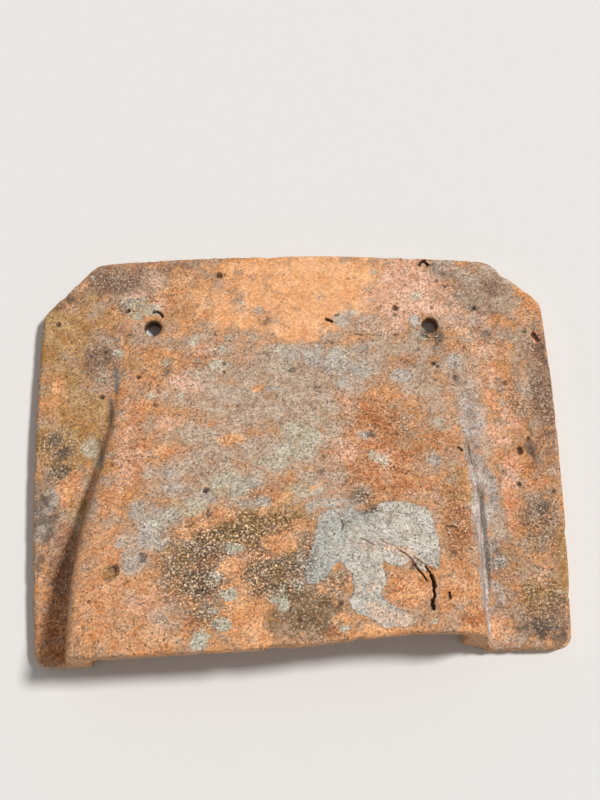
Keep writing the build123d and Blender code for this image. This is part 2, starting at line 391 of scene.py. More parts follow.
PATCHES["burnt_clay"] = [
    (44, 10, 24, 20, -20, 0.9), (62, -18, 22, 18, 0, 0.75), (40, -22, 16, 14, 0, 0.8),
    (26, -5, 12, 14, 0, 0.6), (90, -2, 12, 16, 0, 0.55), (93, -52, 10, 30, 0, 0.8), (62, -36, 22, 8, 0, 0.7),
    (30, -33, 10, 7, 0, 0.6), (-100, -10, 10, 10, 0, 0.4), (-96, 40, 10, 14, 0, 0.5),
    (-148, -100, 9, 36, 0, 0.85), (86, -112, 14, 10, 0, 0.3), (70, 14, 20, 12, 0, 0.4),
    (55, -104, 10, 14, 0, 0.55), (150, 20, 12, 14, 0, 0.5), (152, -92, 10, 12, 0, 0.5),
    (-106, 2, 11, 36, 0, 0.6), (98, -116, 10, 9, 0, 0.65), (-60, 62, 8, 5, 0, 0.5), (34, 26, 10, 6, 0, 0.5),
    (-70, 55, 14, 10, 0, 0.5), (150, -20, 14, 12, 0, 0.4), (128, 70, 14, 7, 0, 0.5), (-98, 66, 12, 8, 0, 0.4),
    (132, 86, 12, 8, 0, 0.4), (10, -125, 12, 4, 0, 0.6), (-75, -118, 16, 12, 0, 0.45),
    (72, 60, 14, 8, 0, 0.4), (160, -60, 6, 20, 0, 0.4),
]
PATCHES["orange_clay"] = [
    (-86, -6, 8, 6, 0, 0.7), (62, -100, 14, 11, 0, 0.95), (90, -94, 13, 18, 0, 0.85), (84, -84, 8, 8, 0, 0.8),
    (-108, -100, 28, 22, 0, 0.85), (-116, -70, 14, 16, 0, 0.7), (-96, -125, 34, 10, 0, 0.85),
    (-22, -38, 16, 8, 0, 0.8), (-4, -30, 10, 7, 0, 0.7), (18, -22, 5, 5, 0, 0.6), (135, -42, 4, 18, 0, 1.0),
    (134, -10, 6, 10, 0, 0.9), (150, -29, 9, 6, 0, 0.8), (140, 28, 10, 8, 0, 0.8), (156, 92, 9, 12, 0, 0.7),
    (158, 104, 5, 12, 42, 0.9), (-146, -24, 8, 14, 0, 0.8), (-148, -58, 5, 10, 0, 0.8),
    (-156, 38, 8, 16, 0, 0.85), (121, 66, 10, 7, 0, 0.6), (132, 50, 9, 8, 0, 0.6), (-98, 27, 6, 6, 0, 0.6),
    (-160, -66, 4, 26, -12, 0.7), (-118, -40, 8, 12, 0, 0.7), (-60, -52, 14, 6, 0, 0.85),
    (-72, -60, 8, 6, 0, 0.7), (-84, 104, 12, 9, 0, 0.8), (-70, 92, 10, 8, 0, 0.7), (-104, 84, 8, 7, 0, 0.5),
    (-76, 120, 12, 7, 0, 0.7), (-82, 80, 12, 7, 0, 0.6), (-30, 92, 6, 3, 0, 0.8), (-148, 74, 10, 12, 0, 0.5),
    (56, -46, 8, 3, 0, 0.4), (94, 24, 8, 10, 0, 0.5), (62, 32, 10, 6, 0, 0.4), (110, 78, 8, 8, 0, 0.5),
    (5, -80, 3, 6, 0, 0.5), (145, -58, 7, 10, 0, 0.6), (158, 10, 5, 10, 0, 0.5), (160, 58, 3, 16, 0, 0.7),
    (162, 4, 4, 12, 0, 0.7), (150, 44, 4, 8, 0, 0.6), (136, 4, 8, 8, 0, 0.6), (122, -92, 8, 12, 0, 0.6),
    (132, -100, 10, 10, 0, 0.5), (122, -118, 10, 10, 0, 0.6), (100, 64, 7, 5, 0, 0.4),
    (-4, -124, 5, 3, 0, 0.6), (-12, -46, 8, 5, 0, 0.7), (-112, 40, 6, 8, 0, 0.5),
]
PATCHES["bare_clay"] = [
    (-44, 2, 9, 4.5, 0, 0.95), (-27, 38, 4, 3, 0, 0.8), (-50, -50, 8, 5, 0, 0.95), (-60, -56, 10, 4, 20, 0.8),
    (-15, -68, 11, 7, 0, 0.95), (-4, -58, 7, 5, 0, 0.7), (-46, -84, 8, 7, 0, 1.0), (-42, -100, 9, 10, 0, 1.0),
    (-40, -114, 12, 12, 0, 1.0), (-32, -127, 12, 6, 0, 0.95), (36, -126, 20, 5, 0, 0.9),
    (8, -99, 4, 3, 0, 0.9), (16, -85, 2, 5, 0, 0.9), (18, -117, 6, 5, 0, 0.7), (-85, 65, 6, 4, 0, 0.8),
    (60, -102, 12, 9, 0, 0.7), (-100, 27, 6, 7, 0, 0.7), (-86, -6, 8, 6, 0, 0.6), (-24, -48, 7, 4, 0, 0.6),
    (-72, -62, 6, 5, 0, 0.7), (-14, -40, 9, 4, 30, 0.7), (7, -32, 8, 3, 30, 0.6), (-58, 14, 5, 4, 0, 0.5),
    (-96, 2, 7, 6, 0, 0.45), (-108, -8, 5, 6, 0, 0.3), (25, -94, 2.5, 3, 0, 0.8), (-78, 112, 12, 9, 0, 0.6),
    (-62, 92, 9, 6, 0, 0.6), (-155, 40, 6, 10, 0, 0.6), (-148, -28, 5, 8, 0, 0.6), (158, 104, 4, 10, 42, 0.7),
    (84, -106, 6, 8, 0, 0.5), (-64, 66, 5, 3, 0, 0.5), (-36, 76, 6, 3, 0, 0.5),
]
PATCHES["salmon_clay"] = [
    (131, 23, 9, 3, -42, 0.95), (126, 32, 3, 7, 20, 0.95), (134, -40, 4, 18, 0, 0.95),
    (137, -12, 6, 9, 0, 0.65), (141, 12, 7, 6, 0, 0.6), (150, -29, 6, 4, 0, 0.6), (131, 48, 5, 8, 0, 0.5),
    (140, 38, 4, 8, -20, 0.6), (152, -86, 6, 8, 0, 0.5), (134, -90, 8, 7, 0, 0.4), (144, -102, 5, 7, 0, 0.4),
    (161, 73.4, 5.0, 3.6, -48, 0.9),
]
print(len(PATCHES), "lists of patches so far")

# %% [markdown]
# ## Dirt, dust and films
# Rain leaves thin films that dry in lilac, blue-grey and umber, and ochre dust stays where water stands. A
# film has no outline of its own, so ovals of several sizes run together into one.

# %% Dirt, dust and films
PATCHES["grey_dirt"] = [
    (-115, 112, 40, 24, 0, 0.8), (-140, 60, 24, 40, 0, 0.7), (-150, -40, 22, 50, 0, 0.7),
    (-85, 75, 30, 12, 0, 0.6), (125, 105, 36, 24, 0, 0.9), (158, 50, 16, 50, 0, 0.85),
    (130, 78, 30, 12, 0, 0.7), (155, -60, 16, 60, 0, 0.7), (135, -110, 30, 24, 0, 0.75),
    (80, 58, 26, 14, 0, 0.7), (30, 40, 30, 16, 0, 0.5), (0, -110, 22, 24, 0, 0.7), (-62, -85, 28, 26, 0, 0.8),
    (-15, -85, 18, 20, 0, 0.7), (-30, -55, 30, 12, 0, 0.5), (-75, 128, 26, 6, 0, 0.6),
    (90, -20, 14, 20, 0, 0.5), (112, -26, 8, 34, 0, 0.9), (128, -60, 10, 40, 0, 0.6),
    (-90, 30, 30, 30, 0, 0.4), (75, 78, 20, 8, 0, 0.55),
]
PATCHES["ochre_dust"] = [
    (-116.5, -85.5, 5, 4.5, 0, 1.0), (-150, 64, 20, 40, 0, 0.85), (-140, 16, 18, 26, 0, 0.95),
    (-158, 90, 10, 16, 0, 0.9), (-130, 92, 18, 12, 0, 0.5), (-167, 70, 4, 30, 0, 1.0),
    (-140, 102, 22, 10, 42, 0.6), (166, -80, 4.5, 26, 0, 0.9), (-160, 0, 10, 22, 0, 0.8),
    (-18, -50, 26, 10, 0, 0.85), (-40, -62, 26, 8, 0, 0.9), (-6, -76, 8, 12, 0, 0.8),
    (150, -100, 14, 20, 0, 0.7), (-78, -76, 12, 8, 0, 0.6), (95, -30, 10, 14, 0, 0.6),
    (-5, -35, 12, 8, 0, 0.6), (-84, 92, 8, 8, 0, 0.4), (-140, -40, 8, 12, 0, 0.5), (-60, 95, 14, 7, 0, 0.5),
    (140, 60, 12, 8, 0, 0.5), (146, -66, 12, 10, 0, 0.5), (40, 113, 7, 9, 0, 0.45), (-110, 56, 8, 8, 0, 0.5),
    (-12, -88, 14, 8, 0, 0.6), (126, -74, 10, 8, 0, 0.5),
]
PATCHES["lilac_film"] = [
    (-8, 50, 44, 20, 0, 1.0), (-20, 30, 48, 22, 0, 1.0), (4, 18, 28, 20, 0, 1.0), (40, 58, 28, 12, 0, 0.9),
    (-60, 6, 22, 14, 0, 0.7), (-82, 34, 14, 12, 0, 0.35), (-80, -26, 20, 14, 0, 0.6),
    (-62, -16, 26, 14, 0, 0.85), (-14, -8, 34, 14, 0, 1.0), (76, 46, 18, 10, 0, 0.75),
    (112, 22, 10, 30, 0, 0.85), (107, 52, 14, 14, 0, 0.75), (42, 84, 16, 9, 0, 0.7),
    (-32, 76, 16, 4, 0, 0.65), (24, 75, 8, 4, 20, 0.9), (-58, 84, 10, 5, 0, 0.5), (10, -28, 20, 12, 0, 0.75),
    (-40, -22, 22, 10, 0, 0.8), (66, 66, 30, 8, 0, 0.7), (90, 20, 12, 18, 0, 0.55), (90, 34, 14, 14, 0, 0.45),
    (118, -4, 10, 14, 0, 0.6), (80, -16, 12, 10, 0, 0.6), (-58, 50, 18, 10, 0, 0.65), (62, 72, 24, 6, 0, 0.6),
    (-84, -112, 14, 10, 0, 0.5), (124, -50, 6, 26, 0, 0.7), (-104, -62, 12, 14, 0, 0.5),
    (135, 118, 14, 12, 0, 0.9), (122, 110, 14, 16, 0, 0.75), (106, 122, 14, 8, 0, 0.8),
    (110, 86, 18, 6, 0, 0.6), (140, 98, 14, 8, 0, 0.6), (150, 74, 12, 8, 0, 0.4), (26, -35, 14, 7, 0, 0.7),
    (-130, 50, 10, 14, 0, 0.35), (-40, 66, 20, 6, 0, 0.6), (-45, -14, 20, 10, 0, 0.6),
    (50, 84, 14, 6, 0, 0.5), (152, 34, 8, 20, 0, 0.5), (-110, 118, 14, 6, 0, 0.4), (-105, -100, 8, 6, 0, 0.4),
    (140, -84, 8, 12, 0, 0.4), (-64, 76, 10, 5, 0, 0.55), (10, 8, 14, 10, 0, 0.6), (-58, -110, 8, 8, 0, 0.5),
    (136, -4, 6, 8, 0, 0.4), (60, 90, 12, 5, 0, 0.45),
]
PATCHES["blue_film"] = [
    (24, -44, 12, 4, 0, 0.9), (5, -46, 7, 5, 0, 0.6), (-4, -82, 5, 12, 0, 0.6), (20, 61, 26, 8, -6, 0.8),
    (40, 68, 12, 5, 10, 0.6), (36, 52, 20, 8, 0, 0.7), (28, 44, 8, 6, 0, 0.8), (2, 66, 10, 4, 8, 0.6),
    (-42, -30, 16, 8, 0, 0.85), (-62, -38, 12, 6, 0, 0.9), (-84, -50, 12, 7, 0, 0.95),
    (-92, -62, 9, 10, 0, 1.0), (-103, -78, 8, 8, 0, 1.0), (-98, -46, 10, 8, 0, 0.8),
    (-88, -20, 12, 6, 0, 0.6), (-78, -32, 10, 8, 0, 0.6), (-159, -32, 5, 6, 0, 1.0),
    (-162, -46, 8, 14, 0, 0.7), (68, 47, 7, 5, 0, 0.9), (30, 88, 6, 5, 0, 0.8), (36, 93, 6, 2.5, 0, 0.8),
    (104, 56, 5, 6, 0, 0.8), (80, 86, 4, 5, 0, 0.8), (126, 78, 6, 4, 0, 0.6), (100, 128, 16, 4, 0, 0.5),
    (84, -15, 6, 6, 0, 0.7), (122, -32, 4, 14, 0, 0.95), (119, -44, 3, 10, 0, 0.8), (124, -78, 6, 4, 0, 0.8),
    (10, -44, 8, 4, 0, 0.7), (-18, 38, 6, 4, 0, 0.6), (-25, 95, 3.5, 3.5, 0, 0.8), (-5, 62, 10, 6, 0, 0.6),
    (-112, -66, 5, 4, 0, 0.7), (-30, -42, 12, 5, 0, 0.7), (40, 3, 5, 4, 0, 0.6), (128, 30, 3, 3, 0, 0.5),
]
PATCHES["umber_film"] = [
    (0, -112, 18, 11, 0, 1.0), (-5, -104, 12, 5, 0, 1.0), (9, -112, 7, 8, 0, 0.7), (-24, -125, 8, 6, 0, 0.8),
    (-2, -124, 20, 5, 0, 0.85), (-18, -116, 8, 6, 0, 0.9), (-120, 118, 16, 8, 0, 0.3),
    (150, -120, 14, 7, 0, 0.6), (165, 44, 5, 26, 0, 0.7), (162, 68, 6, 10, 0, 0.5),
    (-125, 106, 12, 4, 0, 0.4),
]
PATCHES["red_brown"] = [
    (163, 40, 8, 48, 0, 0.75), (156, 62, 7, 14, 0, 0.35), (164, -5, 5, 26, 0, 0.5),
    (148, -117, 16, 7, 0, 0.9), (157, -108, 8, 12, 0, 0.6), (-120, 116, 22, 10, 0, 0.75),
    (-96, 125, 20, 7, 0, 0.65), (-72, 129, 14, 4, 0, 0.5), (-146, 103, 10, 10, 42, 0.45),
    (-128, 60, 14, 22, 0, 0.6), (-150, -75, 12, 30, 0, 0.6), (106, 124, 8, 6, 0, 0.5),
    (134, 112, 12, 10, 0, 0.6), (128, 94, 12, 6, 0, 0.5), (148, -50, 14, 12, 0, 0.5),
    (122, -95, 6, 20, 0, 0.4), (-110, 80, 14, 7, 0, 0.6), (154, -4, 6, 10, 0, 0.6), (96, 62, 8, 10, 0, 0.4),
    (-156, 0, 10, 12, 0, 0.4),
]
# Rain streaks on the hood's right wall, with painted light that makes the whole wall paler
PATCHES["wall_wash_and_light"] = [
    (108, -70, 5, 36, 0, 1.0), (113, -22, 8, 16, 0, 0.9), (109, -100, 5, 30, 0, 1.0),
    (107, -12, 4, 14, 0, 0.8), (111, 14, 9, 24, 0, 0.7), (123, -34, 3.5, 16, 0, 0.7),
    (118, -74, 7, 12, 0, 0.8), (113, -48, 6, 14, 0, 0.7), (120, -100, 6, 16, 0, 0.5),
]
print(len(PATCHES), "lists of patches so far")

# %% [markdown]
# ## Lichen, specks, soot and edges
# Lichen grows in pale patches and round spots, algae and sand make dark specks, and soot settles in smudges.
# Painted shade darkens the foot of the hood's walls, and a painted highlight runs along the right wall's
# fold.
# Most of these ovals are smaller than those of a film, because such marks have a sharper place.

# %% Lichen, specks, soot and edges
PATCHES["speckle"] = [
    (-45, -62, 34, 9, 0, 1.0), (-62, -72, 18, 12, 0, 1.0), (-30, -72, 12, 10, 0, 0.9),
    (-28, -88, 15, 11, 0, 1.0), (-65, -92, 20, 16, 0, 1.0), (-18, -98, 20, 7, 0, 1.0),
    (-12, -55, 14, 7, 0, 0.8), (0, -75, 5, 15, 0, 0.8), (-76, -84, 13, 15, 0, 0.9), (-34, -52, 16, 6, 0, 0.8),
    (5, -101, 15, 5, 0, 0.6), (-14, -84, 13, 9, 0, 1.0), (-60, -112, 12, 10, 0, 0.8), (18, -94, 9, 7, 0, 0.8),
    (-57, -50, 4, 5, 0, 1.0), (42, -49, 6, 3, 0, 0.9), (-156, 4, 12, 10, 0, 0.7), (152, -52, 14, 22, 0, 0.6),
    (148, -105, 18, 20, 0, 0.65), (-2, -116, 18, 10, 0, 0.55), (142, 30, 8, 10, 0, 0.6),
    (-120, 116, 18, 8, 0, 0.6), (160, 30, 8, 30, 0, 0.5), (70, 10, 20, 14, 0, 0.35),
    (94, -60, 10, 30, 0, 0.45), (-154, -14, 8, 8, 0, 0.8), (126, -80, 12, 14, 0, 0.5),
    (-128, 60, 12, 14, 0, 0.35), (-112, 98, 9, 6, 0, 0.6), (90, 74, 8, 4, 0, 0.8), (-85, 58, 10, 8, 0, 0.3),
    (112, 108, 14, 10, 0, 0.35), (-75, 110, 20, 12, 0, 0.3), (36, -40, 8, 5, 0, 0.9), (8, -104, 8, 7, 0, 0.5),
    (-30, -35, 14, 6, 0, 0.4),
]
PATCHES["pale_lichen"] = [
    (0, 4, 14, 10, 0, 0.8), (-6, -8, 14, 7, 0, 0.8), (-20, -15, 12, 6, 0, 0.75), (-48, -30, 15, 8, 0, 0.95),
    (-70, -44, 12, 6, 0, 0.8), (-88, -54, 8, 5, 0, 0.7), (1, -34, 12, 6, 0, 0.7), (12, 14, 10, 4, 0, 0.6),
    (27, 64, 7, 6, 0, 0.6), (-12, 68, 14, 3, 0, 0.7), (-106, 101, 9, 5, 0, 0.9), (-96, 96, 7, 5, 0, 0.8),
    (-106, 93, 7, 4, 0, 0.85), (-117, 66, 5, 3, 0, 0.85), (-75, 35, 6, 3, 0, 0.75), (-95, 35, 4, 3, 0, 0.8),
    (93, 10, 8, 6, 0, 0.6), (84, 75.5, 7, 2.5, -25, 0.95), (-50, 68, 2.4, 2, 0, 1.0),
    (-36, 100, 3, 2, 0, 0.8), (54, 122, 3, 2, 0, 0.8), (81, 104, 4, 3, 0, 0.7), (-134, 2, 6, 7, 0, 0.9),
    (-128, -10, 4, 6, 0, 0.7), (46, -11.5, 4.5, 4, 0, 1.0), (51, -15, 4, 5, 0, 0.8),
    (-149, 100, 2, 1.5, 0, 1.0), (-160, -30, 3, 3, 0, 1.0), (-135, 120, 2.5, 1.6, 0, 0.9),
    (160, -98, 4, 2, -20, 0.7), (-127, 47, 4, 3, 0, 0.6), (-68, 74, 4, 4, 0, 0.7), (134, 28, 3, 4, 0, 0.5),
    (114, -25, 4, 5, 0, 0.9), (115, -13, 4, 3, 0, 0.8), (106, -40, 2.5, 24, 0, 0.8), (-86, 58, 4, 3, 0, 0.8),
    (-52, 56, 8, 4, 0, 0.75), (-55, -90, 6, 5, 0, 0.7), (-20, -62, 5, 3, 0, 0.4), (-8, 52, 8, 6, 0, 0.6),
    (-15, -102, 3, 10, -10, 0.8), (-6, -95, 4, 5, 0, 0.85), (20, -92, 6, 5, 0, 0.8), (-84, 62, 3, 2, 0, 0.7),
    (-46, 76, 3, 2, 0, 0.7), (-66, 60, 3, 2, 0, 0.7), (-72, -68, 6, 4, 0, 0.4), (-50, -70, 6, 5, 0, 0.5),
    (85, -78, 4, 4, 0, 0.4), (73, -119.5, 3, 2, 0, 0.9), (12, -62, 4, 3, 0, 0.6),
]
PATCHES["lichen_spots"] = [
    (-46.5, -100, 5.0, 4.0, 0, 1.0), (-51, -118, 6.0, 4.0, -15, 1.0), (-64, -127, 5.5, 7.0, -25, 0.95),
    (-14, -107, 2.4, 5.0, 8, 0.9), (-20, -104, 5.0, 5.0, 0, 0.65), (73, -119.5, 2.0, 1.6, 0, 0.95),
    (-56, -110, 3.4, 2.0, 0, 0.8), (-43, -72, 7.0, 4.0, 0, 0.75), (-53, -88, 4.0, 4.0, 0, 0.6),
    (20, -123, 5.0, 4.0, 0, 0.6),
]
# Painted shade: a dark band along the foot of both walls of the hood, where they meet the plate
PATCHES["wall_foot_shade"] = [
    (107.2, -8, 1.0, 12, 0, 0.6), (113.0, -44, 2.8, 11, -5, 0.9), (114.3, -58, 2.8, 12, -3, 1.0),
    (115.2, -73, 2.4, 12, -3, 1.0), (115.8, -87, 1.6, 12, -2, 1.0), (111.0, -32, 1.6, 8, -5, 0.6),
    (-118.0, 46, 1.8, 12, 4, 0.8), (-121.0, 25, 2.0, 16, 6, 0.7), (-126.0, -8, 2.0, 20, 10, 0.6),
]
# Painted highlight: a light line along the fold of the hood's right wall
PATCHES["wall_edge_highlight"] = [
    (107.0, -20, 1.2, 10, 0, 0.8), (107.6, -37, 1.3, 12, -3, 0.9), (108.9, -54, 1.5, 12, -6, 1.0),
    (111.0, -68, 1.6, 11, -8, 1.0), (112.6, -81, 1.5, 11, -5, 1.0), (113.3, -96, 1.3, 14, 0, 1.0),
    (113.0, -114, 1.3, 12, 2, 0.9), (112.0, -26, 4.0, 5, 0, 0.6),
]
PATCHES["soot"] = [
    (-152, -14, 5.5, 4.5, 0, 1.0), (-150, -2, 8, 4, 0, 0.8), (-157, 6, 5, 5, 0, 0.85),
    (-160, -46, 8, 16, 0, 0.7), (-163, -32, 6, 14, 0, 0.7), (-164, -70, 5, 9, 0, 0.6),
    (-122, 116, 14, 4, 0, 0.25), (-108, 113, 8, 6, 0, 0.3), (-120, 127, 20, 3, 0, 0.4),
    (-152, 103, 12, 6, 42, 0.5), (-129, 62, 9, 10, 0, 0.5), (-114, 76, 14, 5, 0, 0.45),
    (98, 124, 4, 8, 40, 0.6), (136, 112, 7, 5, 0, 0.35), (128, 96, 8, 3, 0, 0.3), (95, 75, 4.5, 4, 0, 1.0),
    (86, 77, 5, 3, -30, 0.8), (127, 76, 4, 3, 0, 0.7), (150, 76, 7, 5, 0, 0.3), (158, 42, 6, 10, 0, 0.3),
    (151, 6, 3, 12, 0, 0.5), (150.5, -2, 5, 9, 0, 0.62), (153, -11, 5, 6, 0, 0.5), (154, -43, 7, 6, 0, 0.6),
    (148, -118, 13, 4, 0, 0.8), (156, -124, 6, 6, 0, 0.9), (146, -123, 5, 4, 0, 0.9),
    (136, -121, 9, 4, 0, 0.5), (36, -39, 5.5, 4.5, 0, 0.9), (42, -47, 4, 3, 0, 0.7), (-21, 87, 5, 4, 0, 0.6),
    (-50, 121, 4, 3, 0, 0.7), (88, -78, 3.5, 5, 0, 0.5), (93, 66, 3, 6, 0, 0.5), (-5, 52, 4, 3, 0, 0.6),
    (14, 39.5, 11, 1.4, 0, 0.7), (113, -56, 3, 12, 0, 0.5), (63.5, -85, 2.0, 4.0, -35, 0.7),
    (61, -82, 3, 1.6, -40, 0.5), (12, -22, 2.5, 3, 0, 0.7), (-99, -76, 4, 3.5, 0, 0.9),
    (-113.2, -82, 2.6, 1.8, -35, 1.0), (-58, -50, 3, 5, 0, 0.8), (120, 95, 3, 3, 0, 0.6),
    (-85, 52, 3, 2, 0, 0.5), (-60, -33, 2.5, 2, 0, 0.7), (44, 4, 4, 3, 0, 0.6), (68, 76, 8, 1.5, 0, 0.5),
    (104, 44, 3, 4, 0, 0.5), (78, 54, 8, 3, 0, 0.4), (92, 55, 4, 3, 0, 0.6),
]
print(len(PATCHES), "lists of patches so far")

# %% [markdown]
# ## The crust round the crack
# The grey crust has a sharp outline, which ovals cannot give. Its outline is a closed line of points, and
# three lists of patches tint what lies inside it.

# %% The crust round the crack
PATCHES["crust_blue"] = [
    (8, -78, 11, 19, 0, 1.0), (16, -57, 9, 8, 0, 0.9), (30, -54, 14, 6, 0, 0.7), (32, -74, 12, 8, 0, 0.45),
    (20, -66, 10, 8, 0, 0.5),
]
PATCHES["crust_warm"] = [
    (44, -115, 12, 5, -25, 1.0), (56, -119, 12, 4.5, -20, 1.0), (62, -79, 11, 4, -38, 1.0),
    (38, -72, 12, 4, -10, 0.5), (38, -96, 8, 9, 0, 0.4), (50, -74, 8, 3, -35, 0.7),
]
PATCHES["crust_smudge"] = [
    (36, -49, 5, 3.5, 0, 0.9), (44, -48.5, 4, 2.4, 0, 0.8), (25, -58, 3, 3, 0, 0.6),
    (41, -59, 3, 1.6, -30, 0.7), (51, -57, 1.6, 1.6, 0, 0.9), (56, -59, 1.8, 1.2, 0, 0.8),
    (64, -53, 1.4, 1.4, 0, 0.6), (14, -70, 3, 2, 0, 0.5), (44, -104, 3, 3, -40, 0.6), (22, -51, 4, 2, 0, 0.6),
    (69, -66, 2, 1.2, 0, 0.5), (66, -82, 4, 2, -50, 0.9),
]
CRUST_OUTLINE = [
    (9, -52), (12, -49.5), (17, -48), (22, -46.5), (28, -47), (34, -49), (40, -49), (44, -47), (47, -44),
    (52, -43), (60, -43.5), (67, -44.5), (73, -47), (76.6, -50.5), (79, -56), (79.6, -62.5), (80.7, -69.5),
    (81.2, -74.5), (80, -80), (78.8, -87), (76.4, -88), (73.4, -85.6), (70.6, -84.4), (71, -88), (69, -89.4),
    (66.6, -86), (64.4, -82.6), (60, -83), (57, -85), (52, -86), (48, -83), (45, -80), (44.5, -86),
    (46.5, -92), (45.5, -98), (42, -101), (45, -107), (51, -111), (58, -115), (63, -120), (56, -122.5),
    (47, -122), (43, -123), (40, -120), (33, -116.5), (28, -114), (24.5, -110.5), (23, -105), (27, -101),
    (26, -94), (27, -90), (23, -86), (20, -82), (16, -83), (14, -87), (12, -91), (7, -94), (3, -95.5),
    (-1, -95), (-2, -89), (0, -82), (2, -74), (5, -68), (6, -60),
]
print(sum(len(patches) for patches in PATCHES.values()), "patches in", len(PATCHES), "lists")

# %% [markdown]
# ## Painting
# The lists become one value from 0 to 1 for each point of the skin and each stain. They are kept as
# attributes of the mesh, which need no unwrapping and no image, and stay in place however the tile is turned.
# The dents and the nail holes get a value too, which paints shade into them. The place and size of the holes
# are read from the record, so they always agree with the measured tile.

# %% Three helpers for painting
PATCH_REACH = 1.5


def patch_field(places, patches):
    """Full strength in the middle of a patch, half on its oval outline, none at half as far again."""
    field = np.zeros(len(places))
    for across, up, half_wide, half_high, turn, strength in patches:
        c, s = np.cos(radians(turn)), np.sin(radians(turn))
        dx, dy = places[:, 0] - across, places[:, 1] - up
        reach = np.hypot((c * dx + s * dy) / half_wide, (c * dy - s * dx) / half_high)
        field = np.maximum(field, strength * np.clip(PATCH_REACH - reach, 0.0, 1.0))
    return field


def outline_field(places, outline, soft):
    """1 inside a closed outline, 0 outside, and a slope across its edge."""
    inside = np.zeros(len(places), bool)
    for (x0, y0), (x1, y1) in zip(outline, outline[1:] + outline[:1]):
        spans = (places[:, 1] < y0) != (places[:, 1] < y1)
        crossing = x0 + (places[:, 1] - y0) * (x1 - x0) / ((y1 - y0) or 1.0)
        inside ^= spans & (places[:, 0] < crossing)
    away = from_line(places, outline + outline[:1])
    return np.clip(0.5 + np.where(inside, away, -away) / soft, 0.0, 1.0)


def paint(name, values):
    """Keeps one value for each point of the skin, for the material to read."""
    layer = tile.data.attributes.new(name, "FLOAT", "POINT")
    layer.data.foreach_set("value", values.astype(np.float32))


print("a patch fades out at", PATCH_REACH, "times its half width and height")

# %% Paint the stains
WEATHER_SLOPE = 4.0
DIRT_EVERYWHERE, DIRT_UNDERSIDE = 0.42, 0.35
CRUST_SOFT_MM = 4.0

places, normals = tile_points()
weather_side = np.clip(normals[:, 2] * WEATHER_SLOPE, 0.0, 1.0)
for name, patches in PATCHES.items():
    field = patch_field(places, patches) * weather_side
    if name == "grey_dirt":
        field = np.maximum(field, DIRT_EVERYWHERE * weather_side + DIRT_UNDERSIDE * (1.0 - weather_side))
    paint(name, field)
paint("grey_crust", outline_field(places, CRUST_OUTLINE, CRUST_SOFT_MM) * weather_side)
print("stains painted on", len(places), "points")

# %% Paint shade into the dents and the nail holes
FULLY_DARK_MM = 1.2
PIT_RIM, WIDE_PIT_MM, WIDE_PIT_SHARE = 1.3, 2.2, 0.3
HOLE_RIM_MM = 0.95

nails = next(mount for mount in frame["record"]["mounts"] if mount["name"] == "nail_holes")
nail_across, nail_up = nails["pos_m"][0] / MM, nails["pos_m"][1] / MM
nail_reach = nails["dims"]["spacing_x_mm"] / 2
holes = [(nail_across + side * nail_reach, nail_up) for side in (-1, 1)]
hole_gap = np.min([np.hypot(places[:, 0] - across, places[:, 1] - up) for across, up in holes], axis=0)
# Painted shade: pits, slits and the crack darken with their depth, wide pits less, and the nail holes to
# their rims
dark = np.clip(sink / FULLY_DARK_MM, 0.0, 1.0) * weather_side
for across, up, radius, depth in PITS:
    if radius > WIDE_PIT_MM:
        dark[np.hypot(places[:, 0] - across, places[:, 1] - up) < PIT_RIM * radius] *= WIDE_PIT_SHARE
hole_shade = np.clip(nails["dims"]["hole_r_mm"] + HOLE_RIM_MM - hole_gap, 0.0, 1.0)
paint("dent", np.maximum(dark, hole_shade))
print("painted:", ", ".join(layer.name for layer in tile.data.attributes if layer.data_type == "FLOAT"))

# %% [markdown]
# ## Unglazed fired clay
# Terracotta is common clay with sand and crushed brick in it, pressed, dried and fired without a glaze. The
# eye reads it by its dead matt surface, its warm body that is never one even colour, and a grain of sand and
# fine pores all over. The body is mixed first, from wide clouds and finer mottling. Then each stain is laid
# over it from one table: where it lies comes from the painted value, its edge is torn by a noise of its own
# size, and two colours keep it lively. The grain comes last and goes over everything.

# %% The body of the clay
# A Mix node has its own pair of sockets for each kind of value, and these are their places
MIX_FACTOR, MIX_NUMBERS, MIX_COLOURS = 0, (2, 3), (6, 7)
MIXED_NUMBER, MIXED_COLOUR = 0, 2
CLOUD_MM, MOTTLE_MM, BLOTCH_MM, GRAIN_MM, SAND_MM = 30.0, 10.0, 4.5, 1.7, 1.0
CLOUD_SPAN, MOTTLE_SPAN, BLOTCH_SPAN = 0.14, 0.13, 0.16
BROWN_SHARE = 0.8

terracotta = bpy.data.materials.new("unglazed_terracotta")
terracotta.use_nodes = True
tree = terracotta.node_tree
shader = tree.nodes["Principled BSDF"]
here = add(tree, "ShaderNodeTexCoord").outputs["Object"]


def stretch(value, low, high, to_low=0.0, to_high=1.0, **settings):
    """A value spread from one range to another, and held at its ends."""
    inputs = {"Value": value, "From Min": low, "From Max": high, "To Min": to_low, "To Max": to_high}
    return add(tree, "ShaderNodeMapRange", inputs, **settings).outputs["Result"]


def spread(value, span, to_low=0.0, to_high=1.0, **settings):
    """A value that lies within a span either side of a half, spread from one value to another."""
    return stretch(value, 0.5 - span, 0.5 + span, to_low, to_high, **settings)


def noise(size_mm, detail, roughness):
    """An even noise of that grain size, about 0.5 in the middle."""
    inputs = {"Vector": here, "Scale": per_metre(size_mm), "Detail": detail, "Roughness": roughness}
    return add(tree, "ShaderNodeTexNoise", inputs).outputs["Fac"]


def mixed(factor, first, second):
    """Two colours mixed, either of them a socket or a hex value."""
    sides = [colour(c) if isinstance(c, str) else c for c in (first, second)]
    inputs = {MIX_FACTOR: factor, MIX_COLOURS[0]: sides[0], MIX_COLOURS[1]: sides[1]}
    return add(tree, "ShaderNodeMix", inputs, data_type="RGBA").outputs[MIXED_COLOUR]


def product(first, second, operation="MULTIPLY"):
    """Two numbers multiplied, or joined by another operation."""
    return add(tree, "ShaderNodeMath", {0: first, 1: second}, operation=operation).outputs[0]


